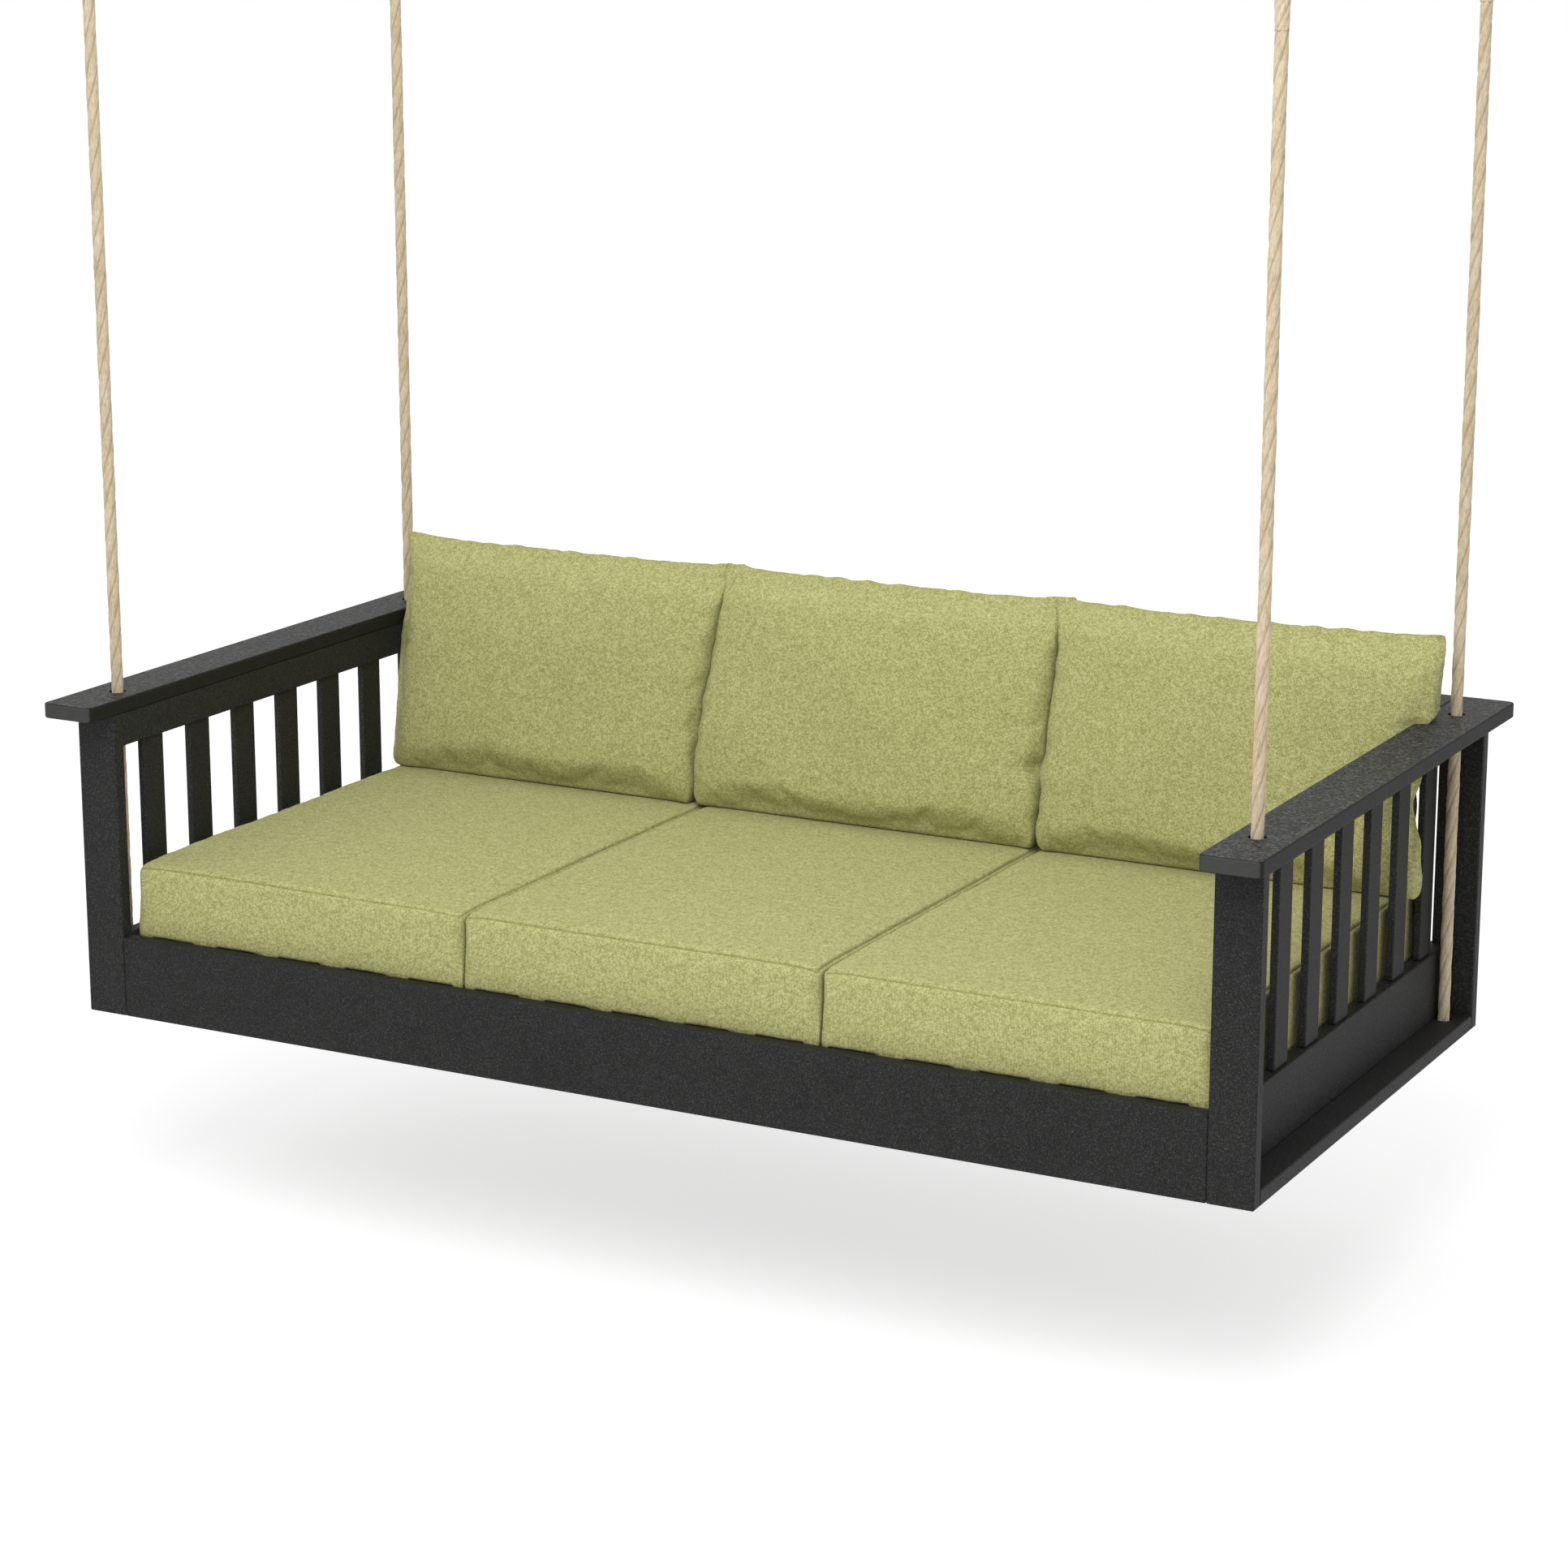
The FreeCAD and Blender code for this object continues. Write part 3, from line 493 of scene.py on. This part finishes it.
def box_grid(hx, hy, hz):
    """Vertices, quads and fabric coordinates of a box's six faces, welded at the edges."""
    xs, ys, zs = smooth_steps(hx), smooth_steps(hy), smooth_steps(hz)
    index, verts, faces, cloth = {}, [], [], []

    def vert(p):
        key = tuple(round(c * 1e6) for c in p)
        if key not in index:
            index[key] = len(verts)
            verts.append(p)
        return index[key]

    def patch(us, vs, at, unfold, flip):
        for i in range(len(us) - 1):
            for j in range(len(vs) - 1):
                quad = [(us[i], vs[j]), (us[i + 1], vs[j]), (us[i + 1], vs[j + 1]),
                        (us[i], vs[j + 1])]
                if flip:
                    quad = quad[::-1]
                faces.append(tuple(vert(at(*q)) for q in quad))
                cloth.extend(unfold(*q) for q in quad)

    # the front's cloth runs on from the top's; the other faces are cut from elsewhere
    patch(xs, ys, lambda u, v: (u, v, hz), lambda u, v: (u, v, 0), False)
    patch(xs, ys, lambda u, v: (u, v, -hz), lambda u, v: (u, v + 3, 0), True)
    patch(xs, zs, lambda u, v: (u, -hy, v), lambda u, v: (u, v - hy - hz, 0), False)
    patch(xs, zs, lambda u, v: (u, hy, v), lambda u, v: (u, v + hy + 5, 0), True)
    patch(ys, zs, lambda u, v: (-hx, u, v), lambda u, v: (u + 7, v, 0), True)
    patch(ys, zs, lambda u, v: (hx, u, v), lambda u, v: (u + 9, v, 0), False)
    return np.array(verts), faces, cloth


def over_slat_gap(x):
    """1 over the middle of a gap between two seat slats, 0 over a slat."""
    lo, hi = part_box("seat_slats")
    pitch = (hi[0] - lo[0] - SLAT) / (SLATS - 1)
    along = ((x - lo[0] - SLAT / 2) / pitch) % 1.0
    return np.clip(((pitch - SLAT) / 2 + 0.002 - np.abs(along - 0.5) * pitch) / 0.004, 0, 1)


def rounded_box(p, half):
    """A box's points moved onto rounded edges, and their outward directions."""
    low = LOW_EDGE + (TOP_EDGE - LOW_EDGE) * np.clip((p[:, 2] / half[2] + 0.7) / 0.9, 0, 1)
    radius = np.stack([TOP_EDGE + 0 * low, low, low], axis=1)
    core = np.clip(p, -(half - radius), half - radius)
    out = (p - core) / radius
    far = np.linalg.norm(out, axis=1)
    far[far == 0] = 1
    out = out / far[:, None]
    return core + out * radius, out


def seat_cushion(name, seed):
    """A crowned box cushion with sewn top and bottom edges, pressed flat under the pillows."""
    lo, hi = (np.array(c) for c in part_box(f"{name}_seat_cushion"))
    centre, half = (lo + hi) / 2, (hi - lo) / 2
    half = half - np.array((0.0013, 0.0, 0.0008))
    verts, faces, cloth = box_grid(*half)
    p, out = rounded_box(verts, half)
    u, v, w = (verts / half).T
    top = verts[:, 2] > 0
    # distance to the nearest seam along the surface
    side_gap = np.minimum(half[0] - np.abs(verts[:, 0]), half[1] - np.abs(verts[:, 1]))
    high_gap = half[2] - np.abs(verts[:, 2])
    flat = high_gap < 1e-6
    seam = np.where(flat, side_gap, high_gap)
    lumps = fbm(p, 4.0, seed)
    ripple = fbm(p * np.array((1, 1, 0.4)), 34.0, seed + 7)
    # crowned in front, pressed flat where the back cushions stand
    swell = (1 - np.abs(u) ** 2.4) ** 0.6 * (1 - np.abs(v) ** 4.0) ** 0.6
    free = 0.2 + 0.8 * (1 - np.clip((verts[:, 1] + centre[1] - BACK_FOOT) / 0.06, 0, 1))
    lift = np.where(flat & top, (0.0075 * swell + 0.0020 * lumps) * free, 0)
    # sagging a little into the gaps between the seat slats
    low_ring = verts[:, 2] < -half[2] + 0.004
    lift = lift - np.where(low_ring, 0.0008 + 0.0055 * over_slat_gap(verts[:, 0] + centre[0]), 0)
    # corners pulled down
    pull = np.clip((np.abs(u) - 0.82) / 0.18, 0, 1) ** 2 * \
        np.clip((np.abs(v) - 0.86) / 0.14, 0, 1) ** 2
    p[:, 2] += lift - np.where(top, 0.0045 * pull, 0)
    # bellied sides, the back one flat
    belly = 1 - w ** 2
    for axis, sign, amount in ((0, 1, 0.0012), (0, -1, 0.0012), (1, -1, 0.0050), (1, 1, 0.0)):
        face = np.abs(verts[:, axis] - sign * half[axis]) < 1e-6
        fade = 1 - np.abs((u, v)[1 - axis]) ** 6
        p[:, axis] += np.where(face, sign * (amount * fade + 0.0011 * lumps) * belly, 0)
    # puckers beside the seams, and the seams' grooves
    p += out * (0.0011 * ripple * np.exp(-(seam / SEAM_BAND) ** 2))[:, None]
    groove = np.exp(-(seam / SEAM_WIDTH) ** 2) - 0.40 * np.exp(-((seam - 0.0065) / 0.0032) ** 2)
    p -= out * (np.where(top, 0.0019, 0.0006) * groove)[:, None]
    p[:, 0] = np.clip(p[:, 0], -half[0], half[0])
    obj = mesh_object(f"{name}_seat_cushion_cover", p + centre, faces, FABRIC)
    # painted shade along the seams' grooves
    set_cloth(obj, cloth, np.exp(-(seam / 0.0018) ** 2) * 0.9)
    declare_cushion(obj, f"{name}_seat_cushion")


# ------------------------------------------------------------------ back cushions
TILT = math.radians(9.6)                       # they lean back
UP = np.array((0.0, math.sin(TILT), math.cos(TILT)))
FRONT = np.array((0.0, -math.cos(TILT), math.sin(TILT)))
HIGH = 0.450                                   # height of a pillow along its tilt
FOOT_Y = 0.3080                                # its lower seam's place on the seat
FOOT_SINK = 0.0105                             # how far its own weight squashes it
FRONT_BULGE, BACK_BULGE = 0.031, 0.135
PANEL_U, PANEL_V = 96, 62                      # quads across and up a panel
SETTLE_FRAMES, SETTLE_MOST = 20, 0.012         # cloth frames, and how far they may move a point
SQUEEZE, SPARE = 0.022, 0.011                  # extra width against a neighbour, and at an arm
ARM_INSIDE = 0.9872                            # where a pillow meets the side panels
GAP_STARTS, GAP_ENDS = (0.294, 0.306), (-0.371, -0.360)    # between the two rear side slats
ROPE_FRONT, ROPE_SWING = 0.4345, 0.268         # rear rope's front at its bend, and its full slope


def waver(t, seed):
    return 0.0050 * row_noise(t, 6.5, seed) + 0.0034 * row_noise(t, 15.0, seed + 3)


def left_crease(t):
    """Place of the crease between the left and the middle pillow, t from foot to top."""
    return -0.341 + 0.050 * np.clip(t, 0, 1) ** 2.2 + waver(t, 2.3)


def right_crease(t):
    pinch = 0.007 * np.exp(-((t - 0.33) / 0.045) ** 2)
    return 0.336 + 0.016 * np.clip(t, 0, 1) ** 2.2 - pinch + waver(t, 8.9)


def panel_point(u, v, gap_u, gap_v, wide, front, seed):
    """A point of a pillow's panel before the cloth settles: x, -depth, z about its middle."""
    drop = 3.2 if v > 0 else 4.4
    full = ((1 - abs(u) ** 3.4) * (1 - abs(v) ** drop)) ** (0.78 if front else 0.60)
    out = FRONT_BULGE * full if front else -BACK_BULGE * full
    out += 0.005 * noise.noise(Vector((u * 2.1 + seed, v * 1.6, 0 if front else 1))) * full
    # edges drawn in between the corners, which are blunt, more so at the foot
    blunt, reach = (0.0075, 0.009) if v > 0 else (0.0160, 0.018)
    blunt *= math.exp(-(gap_u + gap_v) / reach)
    x = u * wide / 2 - math.copysign(0.006 * (1 - abs(v) ** 9) * abs(u) ** 8 + blunt, u)
    z = v * HIGH / 2 - math.copysign(0.010 * (1 - abs(u) ** 12) * abs(v) ** 8 + blunt, v)
    return x, -out, z


def gathers(x, z, u, v, gap_u, gap_v, seed):
    """How the seam gathers a panel near its rim: depth of the tuck, slide in x and in z."""
    level = gap_v < gap_u                      # nearer to the foot or top seam than to a side
    along, side = (x, 1 + (v > 0)) if level else (z, 3 + (u > 0))
    gap = min(gap_u, gap_v)
    tuck = noise.noise(Vector((along * 26, seed + side * 9.1, 0.2))) \
        + 0.7 * noise.noise(Vector((along * 52, seed - side * 4.3, 0.7)))
    tuck *= 1 - math.exp(-abs(gap_u - gap_v) / 0.016)       # fading at the mitres
    at_foot = side == 1
    deep, decay = (0.0026, 0.013) if at_foot else (0.0030, 0.020)
    slide = (0.0036 if at_foot else 0.0062) * tuck * math.exp(-gap / 0.014)
    moves = (0, math.copysign(slide, v)) if level else (math.copysign(slide, u), 0)
    return deep * tuck * math.exp(-gap / decay), *moves


def pillow_panels(wide, seed):
    """Two panels sewn round the rim: points, quads, fabric coordinates, gathers, and how near
    the rim each point is."""
    us, vs = np.linspace(-1, 1, PANEL_U + 1), np.linspace(-1, 1, PANEL_V + 1)
    points, index, gathered, rim = [], {}, [], []
    for layer in (0, 1):
        for i, u in enumerate(us):
            for j, v in enumerate(vs):
                edge = i in (0, PANEL_U) or j in (0, PANEL_V)
                if layer and edge:
                    index[1, i, j] = index[0, i, j]
                    continue
                index[layer, i, j] = len(points)
                gap_u, gap_v = (1 - abs(u)) * wide / 2, (1 - abs(v)) * HIGH / 2
                x, y, z = panel_point(u, v, gap_u, gap_v, wide, layer == 0, seed)
                points.append((x, y, z))
                deep, move_x, move_z = gathers(x, z, u, v, gap_u, gap_v, seed)
                inward = 0 if edge else (-1, 1)[layer]
                gathered.append((move_x, inward * deep, move_z))
                rim.append(math.exp(-min(gap_u, gap_v) / 0.006))
    faces, cloth = [], []
    for layer in (0, 1):
        for i in range(PANEL_U):
            for j in range(PANEL_V):
                quad = [(i, j), (i + 1, j), (i + 1, j + 1), (i, j + 1)]
                if layer:
                    quad = quad[::-1]
                faces.append(tuple(index[layer, a, b] for a, b in quad))
                cloth.extend((us[a] * wide * 0.53 + seed + 3 * layer, vs[b] * HIGH * 0.56, 0)
                             for a, b in quad)
    return np.array(points), faces, cloth, np.array(gathered), np.array(rim)


def blow_up(obj, start, rim):
    group = obj.vertex_groups.new(name="seam")
    for k, weight in enumerate(rim):
        if weight > 0.15:
            group.add([k], weight, "REPLACE")
    solver = obj.modifiers.new("Cloth", "CLOTH")
    s = solver.settings
    s.quality = 6
    s.mass = 0.25
    s.tension_stiffness = s.compression_stiffness = 22
    s.shear_stiffness = 8
    s.bending_stiffness = 0.35
    s.tension_damping = s.compression_damping = 14
    s.air_damping = 4.0
    s.use_pressure = True
    s.uniform_pressure_force = 1.6
    s.vertex_group_shrink = "seam"
    s.shrink_min, s.shrink_max = 0.0, 0.02
    s.effector_weights.gravity = 0.0
    solver.collision_settings.use_collision = False
    solver.collision_settings.use_self_collision = False
    for frame_no in range(1, SETTLE_FRAMES + 1):
        scene.frame_set(frame_no)
    graph = bpy.context.evaluated_depsgraph_get()
    blown = np.array([v.co[:] for v in obj.evaluated_get(graph).data.vertices])
    obj.modifiers.remove(solver)
    obj.vertex_groups.remove(group)
    scene.frame_set(1)
    move = blown - start
    far = np.maximum(np.linalg.norm(move, axis=1), 1e-9)
    return start + move * np.minimum(1, SETTLE_MOST / far)[:, None]


def lean(p, lo, hi, u, t, dent):
    """Dents a pillow, shifts its filling and ears, and stands it on the seat, leaning back."""
    half_wide = (hi[0] - lo[0]) / 2
    at_t, size, deep = dent                                  # in the right edge of its front
    near = np.exp(-(((u - 1.0) * half_wide / size) ** 2 + ((t - at_t) * HIGH / (size * 0.7)) ** 2))
    p[:, 1] += np.where(p[:, 1] < 0.004, deep * near, 0)
    p[:, 0] -= deep * 0.5 * near
    # fuller low down, thinner towards the top seam
    p[:, 1] *= 1.10 - 0.20 * np.clip(t, 0, 1)
    # the right ear at the top stands behind the next pillow, the left one in front
    p[:, 1] += np.where(u > 0, 0.009, -0.007) * ramp(t, 0.80, 0.97) * np.abs(u) ** 6
    world = np.array((0, FOOT_Y, lo[2] - FOOT_SINK)) + p[:, 0:1] * np.array((1, 0, 0)) \
        + (p[:, 2:3] + HIGH / 2) * UP - p[:, 1:2] * FRONT
    world[:, 1] = press(world[:, 1], hi[1], 1, 0.022, 7)
    world[:, 2] = press(world[:, 2], lo[2] - 0.0005, -1, 0.006, 7)
    return world


def meet_pillow(world, crease, bound, sign, reach, t):
    """Presses one side of a pillow against the crease that it shares with the next one."""
    world[:, 0] += (crease(t) - bound) * reach ** 2
    limit = crease(t) + sign * 0.016 * ramp(t, 0.88, 0.99)
    world[:, 0] = press(world[:, 0], limit, sign, 0.009, 6)


def meet_arm(world, bulge, sign, reach):
    """Presses one side of a pillow against a side panel, and over the arm's top."""
    amount, start, end = bulge
    above = ramp(world[:, 2], ARM_TOP - 0.0024, ARM_TOP + 0.0196)
    low = ramp(-world[:, 2], 1.60, 1.69)
    between = ramp(world[:, 1], *GAP_STARTS) * ramp(-world[:, 1], *GAP_ENDS)
    world[:, 0] += sign * amount * ramp(world[:, 2], start, end) * reach ** 4
    if sign > 0:                               # the right one's rim stands out between two slats
        pinch = np.exp(-((world[:, 2] + 1.556) / 0.024) ** 2)
        world[:, 0] += (0.024 + 0.014 * low - 0.017 * pinch) * (1 - above) * reach ** 6
    limit = sign * (ARM_INSIDE + 0.030 * between * (1 - above) + 0.062 * above)
    world[:, 0] = press(world[:, 0], limit, sign, 0.008, 6)


def clear_rope(world):
    """Keeps a pillow's end out of the way of the rear rope at full swing."""
    rope_front = ROPE_FRONT - ROPE_SWING * (world[:, 2] - BEND_Z)
    beside = ramp(np.abs(world[:, 0]), 0.985, 1.008) \
        * ramp(world[:, 2], ARM_TOP - 0.0124, ARM_TOP + 0.0076)
    world[:, 1] -= beside * np.maximum(0, world[:, 1] - rope_front)


def refine(obj):
    """Gives a mesh one level of smooth subdivision, applied."""
    fine = obj.modifiers.new("fine", "SUBSURF")
    fine.levels = fine.render_levels = 1
    bpy.context.view_layer.update()
    mesh = bpy.data.meshes.new_from_object(
        obj.evaluated_get(bpy.context.evaluated_depsgraph_get()))
    obj.modifiers.remove(fine)
    obj.data = mesh


def pillow(name, seed, sides, dent):
    """A knife-edge pillow, blown up by the cloth solver, then leaned against the back and
    pressed against its neighbours.  sides tells what it meets on its left and right: the
    crease it shares with the next pillow, or how it bulges over the arm: by how much, and
    from which height to which.  dent is the height, size and depth of a dent at its right."""
    lo, hi = (np.array(c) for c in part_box(f"{name}_back_cushion"))
    points, faces, cloth, gathered, rim = pillow_panels(hi[0] - lo[0] + 0.012, seed)
    obj = mesh_object(f"{name}_back_cushion_cover", points, faces, FABRIC)
    # painted shade along the rim seam, fading inward
    set_cloth(obj, cloth, rim * 0.25)
    p = blow_up(obj, points, rim)
    p -= (p.max(0) + p.min(0)) / 2 * np.array((1, 0, 1))
    span = p.max(0) - p.min(0)
    # a pillow squeezed between neighbours starts wider than its place
    extra = [SQUEEZE if callable(side) else SPARE for side in sides]
    p[:, 0] = (p[:, 0] / span[0] + 0.5) * (hi[0] - lo[0] + sum(extra)) + lo[0] - extra[0]
    p[:, 2] *= HIGH / span[2]
    p += gathered
    t = p[:, 2] / HIGH + 0.5                                 # 0 at the foot, 1 at the top
    u = (p[:, 0] - (lo[0] + hi[0]) / 2) / ((hi[0] - lo[0]) / 2)
    world = lean(p, lo, hi, u, t, dent)
    for sign, side, bound in ((-1, sides[0], lo[0]), (1, sides[1], hi[0])):
        reach = np.clip(sign * u, 0, 1)
        if callable(side):
            meet_pillow(world, side, bound, sign, reach, t)
        else:
            meet_arm(world, side, sign, reach)
        if callable(side) or sign < 0:         # the lower corners are rounded
            foot = np.exp(-np.maximum(0, world[:, 2] - lo[2]) / 0.011)
            world[:, 0] -= sign * 0.011 * foot * reach ** 6
    clear_rope(world)
    obj.data.vertices.foreach_set("co", world.astype(np.float32).ravel())
    obj.data.update()
    refine(obj)
    declare_cushion(obj, f"{name}_back_cushion")


for k, name in enumerate(NAMES):
    seat_cushion(name, 11.3 * (k + 1))
pillow("left", 5.7, ((-0.012, -1.54, -1.30), left_crease), (0.32, 0.024, 0.004))
pillow("middle", 11.4, (left_crease, right_crease), (0.34, 0.026, 0.011))
pillow("right", 17.1, (right_crease, (0.029, -1.431, -1.412)), (0.30, 0.034, 0.022))

# ------------------------------------------------------------------ floor and light
FLOOR_DROP = 0.36                              # floor below the swing
FLOOR_HALF = 30.0
FLOOR_GREY = 0.44
FLOOR_GLOW, FLOOR_GLOW_SEEN = 0.43, 0.225      # its own light, and what the camera sees more
SKY, SKY_SLOPE = 0.82, -0.09                   # soft box: strength, and how it falls to the right
KEY_AT, KEY_TARGET = (1.15, -3.4, 2.25), (0, 0, -1.7)
KEY_SIZE, KEY_POWER = 3.4, 178


def studio_floor():
    """White to the camera, grey where the swing's shadow falls."""
    n = Nodes("studio_floor")
    diffuse = n.add("ShaderNodeBsdfDiffuse", Color=(FLOOR_GREY, FLOOR_GREY, FLOOR_GREY, 1.0))
    seen = n.tree.nodes.new("ShaderNodeLightPath").outputs["Is Camera Ray"]
    glow = n.add("ShaderNodeEmission", Color=(1.0, 1.0, 1.0, 1.0),
                 Strength=n.math("MULTIPLY_ADD", seen, FLOOR_GLOW_SEEN, FLOOR_GLOW))
    both = n.tree.nodes.new("ShaderNodeAddShader")
    n.tree.links.new(diffuse.outputs[0], both.inputs[0])
    n.tree.links.new(glow.outputs[0], both.inputs[1])
    n.tree.links.new(both.outputs[0], n.out.inputs[0])
    z = BOARD_BOTTOM - FLOOR_DROP
    square = [(x * FLOOR_HALF, y * FLOOR_HALF, z) for x, y in ((-1, -1), (1, -1), (1, 1), (-1, 1))]
    mesh_object("floor", square, [(0, 1, 2, 3)], n.mat, smooth=False)


def studio_sky():
    """White to the camera; as light it is a soft box, a little weaker from the right."""
    world = bpy.data.worlds.new("studio")
    world.use_nodes = True
    scene.world = world
    tree = world.node_tree
    background = tree.nodes["Background"]
    background.inputs["Color"].default_value = (1, 1, 1, 1)
    view = tree.nodes.new("ShaderNodeTexCoord")
    axes = tree.nodes.new("ShaderNodeSeparateXYZ")
    dimmer = tree.nodes.new("ShaderNodeMath")
    dimmer.operation = "MULTIPLY_ADD"
    dimmer.inputs[1].default_value = SKY_SLOPE
    dimmer.inputs[2].default_value = SKY
    seen = tree.nodes.new("ShaderNodeLightPath")
    choose = tree.nodes.new("ShaderNodeMix")
    choose.inputs[3].default_value = 1.0
    tree.links.new(view.outputs["Generated"], axes.inputs[0])
    tree.links.new(axes.outputs[0], dimmer.inputs[0])
    tree.links.new(seen.outputs["Is Camera Ray"], choose.inputs[0])
    tree.links.new(dimmer.outputs[0], choose.inputs[2])
    tree.links.new(choose.outputs[0], background.inputs["Strength"])


def key_lamp():
    data = bpy.data.lights.new("key", "AREA")
    data.shape, data.size, data.energy = "DISK", KEY_SIZE, KEY_POWER
    lamp = link(bpy.data.objects.new("key", data))
    lamp.location = KEY_AT
    aim = Vector(KEY_TARGET) - Vector(KEY_AT)
    lamp.rotation_euler = aim.to_track_quat("-Z", "Y").to_euler()


studio_floor()
studio_sky()
key_lamp()
